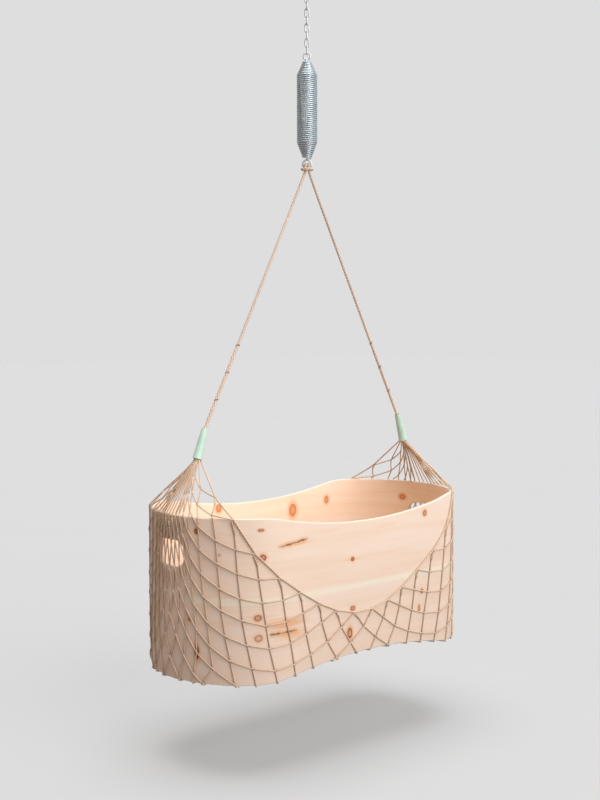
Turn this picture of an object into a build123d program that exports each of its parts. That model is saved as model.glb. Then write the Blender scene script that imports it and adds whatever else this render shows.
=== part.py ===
from build123d import *
import math
import os

os.makedirs("parts", exist_ok=True)

# A nursery cradle of bent pine that hangs in a cord net from one rope, a spring and a chain.
# Millimetres, +Z up, X along the cradle. The origin is the middle of the ceiling face of the plate.

# Driving sizes of the wooden shell
shell_length = 750.0
shell_width = 375.0
shell_height = 332.0
wall = 8.0
rim_dip = 29.5
foot_arch = 26.5

# Shares of the shell's width that its plan curves take, and of its length that its side curves take
shoulder_share = 0.4267
end_share = 0.5653
rim_dip_share = 0.683
foot_arch_share = 0.693
profile_blend_share = 0.267

# Grip hole in each end wall
grip_width = 78.0
grip_height = 53.0
grip_corner = 22.0
grip_below_rim = 51.0

# Floor of the cradle and what carries it
board_thickness = 9.0
board_play = 1.0
board_rise = 41.0
vent_hole = 20.0
vent_spacing = 90.0
vent_rows = 3
vent_columns = 5
batten_share = 0.917
batten_width = 12.0
batten_height = 11.0
cleat_length = 110.0
cleat_width = 14.0

# Net cord and mesh
cord = 2.5
edge_cord = 3.4
mesh_share = 0.2221
net_gap = 0.4
net_hem_height = 112.0
step_leans = (7, 8, 8, 9, 11, 18, 37, 50, 62, 70, 77, 86, 98)
end_strands = 12
fan_strands = 14
under_mesh_x = 62.0
under_mesh_y = 46.0

# Rope, sleeves and the splice at each end of the rope
rope = 6.8
splice = 7.8
splice_length = 190.0
sleeve_length = 64.0
sleeve_lean = 18.0
sleeve_top = 12.6
sleeve_mouth = 20.0
sleeve_wall = 1.0
sleeve_out_share = 0.8133
sleeve_mouth_rise = 106.5
bunch_depth = 26.0
shoulder_steps = 4

# Steel parts
spring_diameter = 45.0
spring_wire = 3.7
spring_pitch = 4.3
spring_body_length = 143.0
spring_top_cone = 31.0
spring_foot_cone = 37.0
cone_tip = 18.6
eye_wire = 3.8
top_eye_width = 18.8
eye_head = 15.0
head_height = 5.0
stirrup_width = 23.0
stirrup_height = 17.0
chain_wire = 3.0
chain_pitch = 16.0
chain_inner_width = 4.8
chain_links = 8
chain_turn = -41.0
plate_diameter = 60.0
plate_thickness = 5.0
plate_screw_circle_diameter = 44.0
plate_screw_hole = 5.5
plate_screw_count = 4
ceiling_eye_wire = 4.0
ceiling_eye_width = 24.0
ceiling_eye_neck = 6.0

# Faces round a wire or thin cord, and round the rope
wire_sides = 6
rope_sides = 8

# Clearances
play = 0.3
overrun = 5.0

# Heights, worked down from the ceiling
ceiling_ring_z = -plate_thickness - ceiling_eye_neck - ceiling_eye_width / 2
ceiling_seat_z = ceiling_ring_z - (ceiling_eye_width - ceiling_eye_wire) / 2
link_drop = chain_pitch - play
link_half = chain_pitch / 2 + chain_wire / 2
first_link_z = ceiling_seat_z + (ceiling_eye_wire + chain_wire) / 2 + play - link_half
last_link_z = first_link_z - (chain_links - 1) * link_drop
top_eye_seat_z = last_link_z - link_half + (chain_wire + eye_wire) / 2 + play
top_eye_z = top_eye_seat_z - (top_eye_width - eye_wire) / 2
spring_top_z = top_eye_z - top_eye_width / 2 + play
cone_top_z = spring_top_z - spring_top_cone
cone_foot_z = cone_top_z - spring_body_length
spring_foot_z = cone_foot_z - spring_foot_cone
stirrup_bar_z = spring_foot_z - stirrup_height + eye_wire / 2
sleeve_drop = 552.0
sleeve_top_z = stirrup_bar_z - sleeve_drop
lean = math.radians(sleeve_lean)
mouth_z = sleeve_top_z - sleeve_length * math.cos(lean)
rim_z = mouth_z - sleeve_mouth_rise
foot_z = rim_z - shell_height
half_length = shell_length / 2
half_width = shell_width / 2
sleeve_mouth_out = sleeve_out_share * half_length
rim_dip_chord = rim_dip_share * shell_length
foot_arch_chord = foot_arch_share * shell_length
profile_blend = profile_blend_share * shell_length

# The plan: straight sides, a shoulder arc at each corner and a flatter arc at each end
shoulder_radius = shoulder_share * shell_width
end_radius = end_share * shell_width
end_centre_x = half_length - end_radius
shoulder_drop = half_width - shoulder_radius
shoulder_x = end_centre_x + math.sqrt((end_radius - shoulder_radius) ** 2 - shoulder_drop ** 2)
shoulder_angle = math.degrees(math.atan2(shoulder_drop, shoulder_x - end_centre_x))
mesh_side = mesh_share * shoulder_x
batten_length = batten_share * 2 * shoulder_x


def at_height(z):
    return Plane.XY.offset(z)


def xyz(v):
    return (v.X, v.Y, v.Z)


def turned(z, turn):
    # An upright plane through the hanging line, its X axis level and turned about +Z
    a = math.radians(turn)
    return Plane(origin=(0, 0, z), x_dir=(math.cos(a), math.sin(a), 0),
                 z_dir=(math.sin(a), -math.cos(a), 0))


def plan_lines(grow):
    # The closed outline of the plan, grown outwards
    y = half_width + grow
    end = end_radius + grow
    shoulder = shoulder_radius + grow
    Line((-shoulder_x, -y), (shoulder_x, -y))
    CenterArc((shoulder_x, -shoulder_drop), shoulder, -90, 90 - shoulder_angle)
    CenterArc((end_centre_x, 0), end, -shoulder_angle, 2 * shoulder_angle)
    CenterArc((shoulder_x, shoulder_drop), shoulder, shoulder_angle, 90 - shoulder_angle)
    Line((shoulder_x, y), (-shoulder_x, y))
    CenterArc((-shoulder_x, shoulder_drop), shoulder, 90, 90 - shoulder_angle)
    CenterArc((-end_centre_x, 0), end, 180 - shoulder_angle, 2 * shoulder_angle)
    CenterArc((-shoulder_x, -shoulder_drop), shoulder, 180 + shoulder_angle, 90 - shoulder_angle)


def plan_face(grow):
    with BuildSketch() as face:
        with BuildLine():
            plan_lines(grow)
        make_face()
    return face.sketch


def foot_line(z):
    # The shell's lower edge seen from the side, from left to right
    x = foot_arch_chord / 2
    Line((-half_length - overrun, z), (-x, z))
    ThreePointArc((-x, z), (0, z + foot_arch), (x, z))
    Line((x, z), (half_length + overrun, z))


def side_face():
    # The shell seen from the side: a dipped rim over an arched foot
    x = rim_dip_chord / 2
    with BuildSketch(Plane.XZ) as face:
        with BuildLine():
            foot_line(foot_z)
            Line((half_length + overrun, foot_z), (half_length + overrun, rim_z))
            Line((half_length + overrun, rim_z), (x, rim_z))
            ThreePointArc((x, rim_z), (0, rim_z - rim_dip), (-x, rim_z))
            Line((-x, rim_z), (-half_length - overrun, rim_z))
            Line((-half_length - overrun, rim_z), (-half_length - overrun, foot_z))
        make_face()
        bends = face.vertices().filter_by(lambda v: abs(v.X) < half_length)
        fillet(bends, radius=profile_blend)
    return face.sketch


def grip_cut():
    # The grip hole, run through both end walls
    with BuildPart() as cut:
        with BuildSketch(Plane.YZ):
            with Locations((0, rim_z - grip_below_rim - grip_height / 2)):
                RectangleRounded(grip_width, grip_height, grip_corner)
        extrude(amount=half_length + overrun, both=True)
    return cut.part


def keep(part, label):
    part.label = label
    export_step(part, f"parts/{label}.step")
    pieces = len(part.solids())
    print(f"{label}: {pieces} solid, volume {part.volume:.0f}")


# Wooden shell
with BuildPart() as wood_shell:
    with BuildSketch(at_height(foot_z)):
        add(plan_face(0))
        add(plan_face(-wall), mode=Mode.SUBTRACT)
    extrude(amount=shell_height)
    extrude(side_face(), amount=half_width + overrun, both=True, mode=Mode.INTERSECT)
    add(grip_cut(), mode=Mode.SUBTRACT)
keep(wood_shell.part, "wood_shell")

# Floor board with vent holes
board_z = foot_z + board_rise
with BuildPart() as floor_board:
    with BuildSketch(at_height(board_z)):
        add(plan_face(-wall - board_play))
        with GridLocations(vent_spacing, vent_spacing, vent_columns, vent_rows):
            Circle(vent_hole / 2, mode=Mode.SUBTRACT)
    extrude(amount=board_thickness)
keep(floor_board.part, "floor_board")

# Battens along the sides, cleats at the ends, glued to the wall under the board
for side, name in ((-1, "near_batten"), (1, "far_batten")):
    with BuildPart() as batten:
        with BuildSketch(at_height(board_z)):
            with Locations((0, side * (half_width - wall - batten_width / 2))):
                Rectangle(batten_length, batten_width)
        extrude(amount=-batten_height)
    keep(batten.part, name)
for side, name in ((-1, "left_cleat"), (1, "right_cleat")):
    with BuildPart() as cleat:
        with BuildSketch(at_height(board_z)):
            add(plan_face(-wall))
            with Locations((side * (half_length - wall - cleat_width / 2), 0)):
                Rectangle(cleat_width, cleat_length, mode=Mode.INTERSECT)
        extrude(amount=-batten_height)
    keep(cleat.part, name)


# The net's knots. A cord step keeps its length and leans the same way all along one column,
# so every knot is found by adding steps, and the right half mirrors the left.
middle_step = (len(step_leans) - 1) // 2


def step_lean(index):
    index = max(-middle_step, min(middle_step, index))
    return math.radians(step_leans[index + middle_step])


def falling(index):
    return (mesh_side * math.sin(step_lean(index)), -mesh_side * math.cos(step_lean(index)))


def rising(index):
    return (mesh_side * math.sin(step_lean(-index)), mesh_side * math.cos(step_lean(-index)))


def hem_knot(k):
    # Knot k of the hem, 0 being the first one right of the middle, and -1 its mirror
    if k < 0:
        x, z = hem_knot(-1 - k)
        return (-x, z)
    x = mesh_side * math.sin(step_lean(0))
    z = foot_z + net_hem_height
    for i in range(1, k + 1):
        x += falling(i)[0] + rising(i)[0]
        z += falling(i)[1] + rising(i)[1]
    return (x, z)


def knot(first, second):
    # Where falling cord number first meets rising cord number second
    x, z = hem_knot(first)
    for i in range(first + 1, second + 1):
        x += falling(i)[0]
        z += falling(i)[1]
    return (x, z)


def shrunk(points, amount):
    # A convex outline with every side moved inwards, points anticlockwise
    sides = []
    count = len(points)
    for i in range(count):
        (x0, y0), (x1, y1) = points[i], points[(i + 1) % count]
        length = math.hypot(x1 - x0, y1 - y0)
        nx, ny = -(y1 - y0) / length, (x1 - x0) / length
        sides.append((nx, ny, nx * x0 + ny * y0 + amount))
    corners = []
    for i in range(count):
        a, b = sides[i - 1], sides[i]
        d = a[0] * b[1] - a[1] * b[0]
        corners.append(((a[2] * b[1] - b[2] * a[1]) / d, (a[0] * b[2] - b[0] * a[2]) / d))
    return corners


hem_reach = 3
side_knots = range(-hem_reach - 1, hem_reach + 1)


def hem_height(x):
    # Height of the hem over the place x, along its straight runs from knot to knot
    k = 0
    x = abs(x)
    if x <= hem_knot(0)[0]:
        return hem_knot(0)[1]
    while hem_knot(k + 1)[0] < x:
        k += 1
    (x0, z0), (x1, z1) = hem_knot(k), hem_knot(k + 1)
    return z0 + (z1 - z0) * (x - x0) / (x1 - x0)


def net_gaps(field_low):
    # The open cells of the flat side, each drawn in by half a cord
    cells = []
    for first in range(-3 * hem_reach, hem_reach + 2):
        for second in range(max(first, -hem_reach - 1), first + 4 * hem_reach):
            cell = [knot(first, second + 1), knot(first + 1, second + 1), knot(first, second)]
            if second > first:
                cell.insert(2, knot(first + 1, second))
            lowest = min(z for x, z in cell)
            nearest = min(abs(x) for x, z in cell)
            if lowest < hem_side_z and nearest < shoulder_x and max(z for x, z in cell) > field_low:
                cells.append(Polygon(*shrunk(cell, cord / 2), align=None, mode=Mode.PRIVATE))
    return cells


def side_field(plane, border):
    # The flat side below the hem, inside a border
    radius = (foot_arch_chord ** 2 / 4 + foot_arch ** 2) / (2 * foot_arch)
    x = shoulder_x - border
    low = foot_z + foot_arch - radius + math.sqrt(radius ** 2 - shoulder_x ** 2) + 2 * border
    with BuildSketch(plane) as field:
        with BuildLine():
            hem = [hem_knot(k) for k in side_knots]
            Polyline((-x, low), (-x, hem_side_z), *hem, (x, hem_side_z), (x, low))
            ThreePointArc((x, low), (0, foot_z + foot_arch + 2 * border), (-x, low))
        make_face()
    return field.sketch


# One flat side of the net, from its hem down to the shell's foot
near_plane = Plane(origin=(0, -half_width - net_gap, 0), x_dir=(1, 0, 0), z_dir=(0, -1, 0))
hem_side_z = hem_height(shoulder_x)
with BuildSketch() as near_gaps:
    add(net_gaps(foot_z))
    add(side_field(Plane.XY, cord / 2), mode=Mode.INTERSECT)
with BuildPart() as near_net:
    with BuildSketch(near_plane):
        add(side_field(Plane.XY, 0))
        add(near_gaps.sketch, mode=Mode.SUBTRACT)
    extrude(amount=cord)
keep(near_net.part, "near_net")
keep(mirror(near_net.part, about=Plane.XZ), "far_net")


def wall_plane(run, height, side):
    # A plane that lies on the end wall, a run along the plan from the middle of that end
    end_run = math.radians(shoulder_angle) * end_radius
    reach = abs(run)
    if reach <= end_run:
        angle = reach / end_radius
        centre, radius, shift = end_centre_x, end_radius, 0.0
    else:
        angle = math.radians(shoulder_angle) + (reach - end_run) / shoulder_radius
        centre, radius, shift = shoulder_x, shoulder_radius, shoulder_drop
    turn = math.copysign(1, run)
    x = side * (centre + radius * math.cos(angle))
    y = turn * (shift + radius * math.sin(angle))
    out = (side * math.cos(angle), turn * math.sin(angle), 0)
    return Plane(origin=(x, y, height), x_dir=(-out[1], out[0], 0), z_dir=out)


# The hem crosses the rim where the end arc meets the shoulder arc
end_run = math.radians(shoulder_angle) * end_radius
wall_run = end_run + math.radians(90 - shoulder_angle) * shoulder_radius
hem_top = half_length - end_radius * (1 - math.cos(end_run / end_radius))
rim_pitch_share = 0.42
foot_pitch = 2 * wall_run / end_strands
gap_rows = 3
gap_point = 22.0
row_height = (shell_height - gap_point) / gap_rows


def shoulder_hem(run):
    # Height of the hem over the end wall, a run along the plan from the middle of that end
    over = (abs(wall_plane(run, 0, 1).origin.X) - shoulder_x) / (hem_top - shoulder_x)
    return hem_side_z + (rim_z - hem_side_z) * min(1, over)


def cut_below(points, left_z, right_z):
    # The part of a convex outline under a line, its height given at the outline's two sides
    left = min(x for x, z in points)
    right = max(x for x, z in points)
    drops = [left_z + (right_z - left_z) * (x - left) / (right - left) - z for x, z in points]
    kept = []
    for i, (x, z) in enumerate(points):
        before_x, before_z = points[i - 1]
        before, here = drops[i - 1], drops[i]
        if (before > 0) != (here > 0):
            share = before / (before - here)
            kept.append((before_x + (x - before_x) * share, before_z + (z - before_z) * share))
        if here > 0:
            kept.append((x, z))
    return kept


# The net over the left end wall, from the rim or the hem down to the foot
with BuildPart() as left_net:
    with BuildSketch(at_height(foot_z)):
        add(plan_face(net_gap + cord))
        add(plan_face(net_gap), mode=Mode.SUBTRACT)
    extrude(amount=shell_height)
    with BuildSketch(Plane.XZ):
        with BuildLine():
            out = -half_length - overrun
            Polyline((-shoulder_x, foot_z), (-shoulder_x, hem_side_z), (-hem_top, rim_z),
                     (out, rim_z), (out, foot_z), close=True)
        make_face()
    extrude(amount=half_width + overrun, both=True, mode=Mode.INTERSECT)
    extrude(side_face(), amount=half_width + overrun, both=True, mode=Mode.INTERSECT)
    for row in range(gap_rows):
        middle = foot_z + gap_point / 2 + (row + 0.5) * row_height
        share = 1 - (1 - rim_pitch_share) * (middle - foot_z) / shell_height
        wide = share * foot_pitch / 2
        tall = (row_height + gap_point) / 2
        for strand in range(-end_strands, end_strands + 1):
            run = strand * wide
            if (strand + row) % 2 or abs(run) + wide > wall_run:
                continue
            gap = [(-wide, gap_point - tall), (0, -tall), (wide, gap_point - tall),
                   (wide, tall - gap_point), (0, tall), (-wide, tall - gap_point)]
            gap = shrunk(gap, cord / 2)
            if abs(run) > end_run:
                left_z = shoulder_hem(run + wide) - edge_cord - middle
                right_z = shoulder_hem(run - wide) - edge_cord - middle
                gap = cut_below(gap, right_z, left_z)
            if gap and max(z for x, z in gap) - min(z for x, z in gap) > 2 * edge_cord:
                with BuildSketch(wall_plane(run, middle, -1)):
                    Polygon(*gap, align=None)
    extrude(amount=overrun, both=True, mode=Mode.SUBTRACT)
keep(left_net.part, "left_net")
keep(mirror(left_net.part, about=Plane.YZ), "right_net")

# The net under the shell, an arched sheet with diamond gaps
with BuildSketch(at_height(foot_z - foot_arch)) as under_gaps:
    diamond = shrunk([(0, -under_mesh_y), (under_mesh_x, 0), (0, under_mesh_y), (-under_mesh_x, 0)], cord / 2)
    columns = 2 * math.ceil(half_length / (2 * under_mesh_x)) + 1
    rows = 2 * math.ceil(half_width / (2 * under_mesh_y)) + 1
    with GridLocations(2 * under_mesh_x, 2 * under_mesh_y, columns, rows):
        Polygon(*diamond, align=None)
    with GridLocations(2 * under_mesh_x, 2 * under_mesh_y, columns + 1, rows + 1):
        Polygon(*diamond, align=None)
    add(plan_face(-cord), mode=Mode.INTERSECT)
with BuildPart() as under_net:
    with BuildSketch(Plane.XZ):
        with BuildLine():
            foot_line(foot_z - net_gap)
            far_end = half_length + overrun
            Line((far_end, foot_z - net_gap), (far_end, foot_z - net_gap - cord))
            Line((-far_end, foot_z - net_gap), (-far_end, foot_z - net_gap - cord))
            foot_line(foot_z - net_gap - cord)
        make_face()
    extrude(amount=half_width + overrun, both=True)
    with BuildSketch(at_height(foot_z - foot_arch)):
        add(plan_face(net_gap + cord))
        add(under_gaps.sketch, mode=Mode.SUBTRACT)
    extrude(amount=3 * foot_arch, mode=Mode.INTERSECT)
keep(under_net.part, "under_net")


def tube(points, radii, diameter):
    # A round cord along straight runs joined by tangent arcs
    with BuildPart() as cord_part:
        with BuildLine() as route:
            FilletPolyline(*points, radius=radii)
        start = route.wire() @ 0
        with BuildSketch(Plane(origin=start, z_dir=route.wire() % 0)) as section:
            RegularPolygon(diameter / 2, wire_sides)
        sweep()
    length = route.wire().length
    expected = section.sketch.area * length
    print(f"  length {length:.0f}, volume share {cord_part.part.volume / expected:.4f}, "
          f"radii {[round(r, 1) for r in radii]}")
    return cord_part.part


def arc_radii(points):
    # Each arc as large as its two runs allow
    radii = []
    for i in range(1, len(points) - 1):
        a = Vector(*points[i]) - Vector(*points[i - 1])
        b = Vector(*points[i + 1]) - Vector(*points[i])
        turn = math.radians(a.get_angle(b))
        radii.append(0.45 * min(a.length, b.length) / math.tan(turn / 2))
    return radii


def sleeve_plane(side):
    # The sleeve's axis, its origin in the middle of the mouth, Z up along the sleeve
    return Plane(origin=(side * sleeve_mouth_out, 0, mouth_z), x_dir=(math.cos(lean), 0, side * math.sin(lean)),
                 z_dir=(-side * math.sin(lean), 0, math.cos(lean)))


def sleeve(side):
    # A tapered tube, turned from its wall's section
    axis = sleeve_plane(side)
    mouth, top = sleeve_mouth / 2, sleeve_top / 2
    with BuildPart() as tube_part:
        with BuildSketch(Plane(origin=axis.origin, x_dir=axis.x_dir, z_dir=-axis.y_dir)):
            with BuildLine():
                Polyline((mouth - sleeve_wall, 0), (mouth, 0), (top, sleeve_length),
                         (top - sleeve_wall, sleeve_length), close=True)
            make_face()
        revolve(axis=Axis(axis.origin, axis.z_dir))
    return tube_part.part


left_sleeve = sleeve(-1)
keep(left_sleeve, "left_sleeve")
keep(mirror(left_sleeve, about=Plane.YZ), "right_sleeve")


# In the mouth of a sleeve both hem cords lie behind the bunch, towards the middle of the cradle
hem_seat = sleeve_mouth / 2 - sleeve_wall - 2 * play - edge_cord / 2
bunch_radius = hem_seat - play - edge_cord / 2


def inner_radius(along):
    # The sleeve's inner radius at a height above its mouth
    return (sleeve_mouth + (sleeve_top - sleeve_mouth) * along / sleeve_length) / 2 - sleeve_wall


# Hem cords, from sleeve to sleeve round the outside of the long walls
def hem_cord(side):
    grow = net_gap + cord + play + edge_cord / 2
    y = side * (half_width + grow)
    knots = [(x, y, z + cord / 2) for x, z in (hem_knot(k) for k in side_knots)]
    step = (wall_run - end_run) / shoulder_steps
    bulge = (shoulder_radius + grow) * (1 / math.cos(step / shoulder_radius / 2) - 1)
    right = []
    for i in range(shoulder_steps):
        run = wall_run - (i + 0.5) * step
        z = shoulder_hem(run) + cord / 2
        right.append(wall_plane(side * run, z, 1).offset(grow + bulge).origin)
    over_rim = wall_plane(side * (end_run + edge_cord), rim_z + edge_cord, 1)
    right.append(over_rim.offset(grow).origin)
    across = math.cos(math.radians(45))
    mouth = sleeve_plane(1).from_local_coords((-hem_seat * across, side * hem_seat * across, -edge_cord))
    depth = 2 * edge_cord
    seat = (inner_radius(depth) - play - edge_cord / 2) * across
    inside = sleeve_plane(1).from_local_coords((-seat, side * seat, depth))
    right = [xyz(point) for point in right + [mouth, inside]]
    left = [(-px, py, pz) for px, py, pz in right[::-1]]
    points = left + knots + right
    return tube(points, arc_radii(points), edge_cord)


near_hem = hem_cord(-1)
keep(near_hem, "near_hem")
keep(mirror(near_hem, about=Plane.XZ), "far_hem")


def fan(side):
    # The net's end: cords bunched in the sleeve, then spread over the rim of the end wall
    axis = sleeve_plane(side)
    with BuildPart() as spread:
        with BuildSketch(axis):
            Circle(bunch_radius)
        with BuildSketch(axis.offset(bunch_depth)):
            Circle(bunch_radius)
        loft()
        start_radius = bunch_radius - cord / 2
        for i in range(fan_strands):
            share = (2 * i + 1) / fan_strands - 1
            foot = wall_plane(share * end_run, rim_z, side).offset(net_gap + cord / 2).origin
            angle = share * math.pi / 2
            start = axis.from_local_coords((side * start_radius * math.cos(angle),
                                            start_radius * math.sin(angle) / 2, cord / 2))
            with BuildLine():
                strand = Line(start, foot)
            with BuildSketch(Plane(origin=start, z_dir=strand % 0)):
                RegularPolygon(cord / 2, wire_sides)
            sweep(path=strand)
        split(bisect_by=at_height(rim_z), keep=Keep.TOP)
    return spread.part


left_fan = fan(-1)
keep(left_fan, "left_fan")
keep(mirror(left_fan, about=Plane.YZ), "right_fan")


# The rope: one length, folded over the stirrup in a cow hitch, a spliced end in each sleeve
turn = math.radians(chain_turn)
wrap = eye_wire / 2 + play + rope / 2
leg_x = rope / 2 + play
bight_x = leg_x + rope + play
bar_y = -(wrap + rope + play)


def hitch_point(along, out, rise):
    # A point of the hitch: along the stirrup's bar, out behind it, and above its middle
    x = along * math.cos(turn) - out * math.sin(turn)
    y = along * math.sin(turn) + out * math.cos(turn)
    return (x, y, stirrup_bar_z + rise)


def rope_run(side):
    # The straight leg from the hitch to the sleeve, as its two ends
    axis = sleeve_plane(side)
    slack = sleeve_top / 2 - sleeve_wall - splice / 2 - play
    low = axis.from_local_coords((-side * slack, 0, sleeve_length))
    high = Vector(*hitch_point(side * leg_x, -wrap / 2, -2 * rope))
    return low, high


right_low, right_high = rope_run(1)
left_low, left_high = rope_run(-1)
right_splice_end = right_low + (right_high - right_low).normalized() * splice_length
left_splice_end = left_low + (left_high - left_low).normalized() * splice_length


def hitch_side(s):
    # One half of the cow hitch, from the leg to the middle of the bight
    return [hitch_point(s * leg_x, -wrap, -rope),
            hitch_point(s * leg_x, -wrap, wrap),
            hitch_point(s * leg_x, wrap, wrap),
            hitch_point(s * leg_x, wrap, -wrap),
            hitch_point(s * bight_x, wrap, -wrap),
            hitch_point(s * bight_x, bar_y, -wrap)]


rope_points = [xyz(left_splice_end), xyz(left_high)] + hitch_side(-1)
rope_points += hitch_side(1)[::-1] + [xyz(right_high), xyz(right_splice_end)]
over_bar = wrap - play / 2
fold = [2 * rope, over_bar, over_bar, over_bar, rope / 2, rope / 2, rope / 2]
rope_radii = fold + fold[::-1]

with BuildPart() as suspension_rope:
    with BuildLine() as rope_route:
        FilletPolyline(*rope_points, radius=rope_radii)
    with BuildSketch(Plane(origin=rope_route.wire() @ 0, z_dir=rope_route.wire() % 0)) as rope_section:
        RegularPolygon(rope / 2, rope_sides)
    sweep()
rope_length = rope_route.wire().length
rope_share = suspension_rope.part.volume / (rope_section.sketch.area * rope_length)
print(f"  rope {rope_length:.0f} long, volume share {rope_share:.4f}")
keep(suspension_rope.part, "suspension_rope")


def rope_end(side, high, low):
    # The spliced end of the rope, from the splice's top down into the sleeve
    axis = sleeve_plane(side)
    end = axis.from_local_coords((0, 0, bunch_depth + play))
    bend = axis.from_local_coords((0, 0, sleeve_length - 2 * splice))
    with BuildPart() as part:
        with BuildLine() as route:
            FilletPolyline(high, low, bend, end, radius=[3 * splice, 3 * splice])
        with BuildSketch(Plane(origin=high, z_dir=route.wire() % 0)):
            RegularPolygon(splice / 2, rope_sides)
        sweep()
    return part.part


keep(rope_end(-1, left_splice_end, left_low), "left_splice")
keep(rope_end(1, right_splice_end, right_low), "right_splice")


# Steel pieces on the hanging line
def ring(mean_radius, wire, height, turn):
    # An upright ring of wire, an edge of its section inwards
    plane = turned(height, turn)
    with BuildPart() as part:
        with BuildSketch(Plane(origin=plane.origin, x_dir=plane.x_dir, z_dir=-plane.y_dir)):
            with Locations((mean_radius, 0)):
                RegularPolygon(wire / 2, wire_sides)
        revolve(axis=Axis(plane.origin, plane.z_dir))
    return part.part


coil_radius = (spring_diameter - spring_wire) / 2
tip_radius = (cone_tip - spring_wire) / 2


def cone_radius(depth, cone):
    # Inside radius of a spring end, a depth from its tip
    widening = (coil_radius - tip_radius) / (cone - spring_wire / 2)
    middle = tip_radius + widening * (depth - spring_wire / 2)
    return middle - spring_wire / 2 * math.hypot(1, widening)


mouth_radius = cone_radius(0, spring_top_cone)
head_depth = spring_top_cone * (eye_head / 2 + play - mouth_radius) / (
    cone_radius(spring_top_cone, spring_top_cone) - mouth_radius)


def head(tip_z, cone, down):
    # The eye's shank through the tip of the spring and its cone head inside
    wide = cone_radius(head_depth + head_height, cone) - play
    narrow = cone_radius(head_depth, cone) - play
    with BuildPart() as part:
        with BuildSketch(at_height(tip_z + down * play)):
            Circle(eye_wire / 2)
        extrude(amount=-down * (head_depth + head_height))
        with BuildSketch(at_height(tip_z - down * head_depth)):
            Circle(narrow)
        with BuildSketch(at_height(tip_z - down * (head_depth + head_height))):
            Circle(wide)
        loft()
    return part.part


with BuildPart() as top_eye:
    add(ring((top_eye_width - eye_wire) / 2, eye_wire, top_eye_z, chain_turn))
    add(head(spring_top_z, spring_top_cone, 1))
keep(top_eye.part, "top_eye")

# The stirrup: a straight bar for the rope, bent up to the shank
bar_half = (stirrup_width - eye_wire) / 2
stirrup_top = spring_foot_z + eye_wire / 4
front = turned(stirrup_bar_z, chain_turn)
shoulder_rise = 2 * wrap
corner = eye_wire
with BuildPart() as bottom_eye:
    with BuildLine(front) as stirrup_path:
        rise = stirrup_top - stirrup_bar_z
        FilletPolyline((bar_half, 0), (bar_half, shoulder_rise), (0, rise),
                       (-bar_half, shoulder_rise), (-bar_half, 0), radius=corner, close=True)
    stirrup = stirrup_path.wire()
    with BuildSketch(Plane(origin=stirrup @ 0, x_dir=front.x_dir, z_dir=stirrup % 0)):
        RegularPolygon(eye_wire / 2, wire_sides)
    sweep()
    add(head(spring_foot_z, spring_foot_cone, -1))
keep(bottom_eye.part, "bottom_eye")

# The spring: close coils between two cones, one wire swept over arcs of half turns
top_rise = spring_top_cone - spring_wire / 2
foot_rise = spring_foot_cone - spring_wire / 2
top_turns = math.hypot(top_rise, coil_radius - tip_radius) / spring_pitch
foot_turns = math.hypot(foot_rise, coil_radius - tip_radius) / spring_pitch
body_turns = spring_body_length / spring_pitch
all_turns = top_turns + body_turns + foot_turns
half_turns = math.floor(2 * all_turns)


def coil_point(turns):
    # A place on the wire's middle line, counted in turns down from the top
    if turns < top_turns:
        share = turns / top_turns
        radius = tip_radius + (coil_radius - tip_radius) * share
        z = cone_top_z + top_rise * (1 - share)
    elif turns < top_turns + body_turns:
        radius = coil_radius
        z = cone_top_z - spring_pitch * (turns - top_turns)
    else:
        share = (turns - top_turns - body_turns) / foot_turns
        radius = coil_radius + (tip_radius - coil_radius) * share
        z = cone_foot_z - foot_rise * share
    angle = 2 * math.pi * turns
    return Vector(radius * math.cos(angle), radius * math.sin(angle), z)


def coil_way(turns):
    # The wire's direction, upwards
    step = 0.001
    return (coil_point(turns - step) - coil_point(turns + step)).normalized()


def joint(p0, p1, way0, way1):
    # Where the two arcs between two places meet, both arcs leaving along the wire
    across = p1 - p0
    both = way0 + way1
    rest = 2 * (1 - way0.dot(way1))
    reach = (-across.dot(both) + math.sqrt(across.dot(both) ** 2 + rest * across.dot(across))) / rest
    return (p0 + p1 + (way0 - way1) * reach) * 0.5


with BuildPart() as spring_coil:
    with BuildLine() as wire_path:
        for i in range(half_turns, 0, -1):
            start, end = coil_point(i / 2), coil_point((i - 1) / 2)
            way, way_end = coil_way(i / 2), coil_way((i - 1) / 2)
            middle = joint(start, end, way, way_end)
            TangentArc(start, middle, tangent=way)
            TangentArc(middle, end, tangent=way_end, tangent_from_first=False)
    foot_end = coil_point(half_turns / 2)
    with BuildSketch(Plane(origin=foot_end, x_dir=(foot_end.X, foot_end.Y, 0), z_dir=-coil_way(half_turns / 2))):
        RegularPolygon(spring_wire / 2, wire_sides)
    sweep()
samples = [coil_point(i / 24) for i in range(12 * half_turns + 1)]
gap = min((samples[i] - samples[j]).length for i in range(len(samples))
          for j in range(i + 12, min(i + 37, len(samples)))) - spring_wire
print(f"  spring {half_turns / 2} turns, least gap to itself {gap:.2f}")
keep(spring_coil.part, "spring_coil")


def chain_link(index):
    # One link; every other one is turned a quarter
    z = first_link_z - index * link_drop
    plane = turned(z, chain_turn + 90 * (index % 2))
    bend = (chain_inner_width + chain_wire) / 2
    leg = chain_pitch / 2 + chain_wire / 2 - bend
    with BuildPart() as link:
        with BuildLine(plane):
            Line((bend, -leg), (bend, leg))
            CenterArc((0, leg), bend, 0, 180)
            Line((-bend, leg), (-bend, -leg))
            CenterArc((0, -leg), bend, 180, 180)
        start = plane.from_local_coords((bend, -leg, 0))
        with BuildSketch(Plane(origin=start, x_dir=plane.x_dir, z_dir=plane.y_dir)):
            RegularPolygon(chain_wire / 2, wire_sides)
        sweep()
    return link.part


for index in range(chain_links):
    keep(chain_link(index), f"chain_link_{index + 1}")

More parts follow.
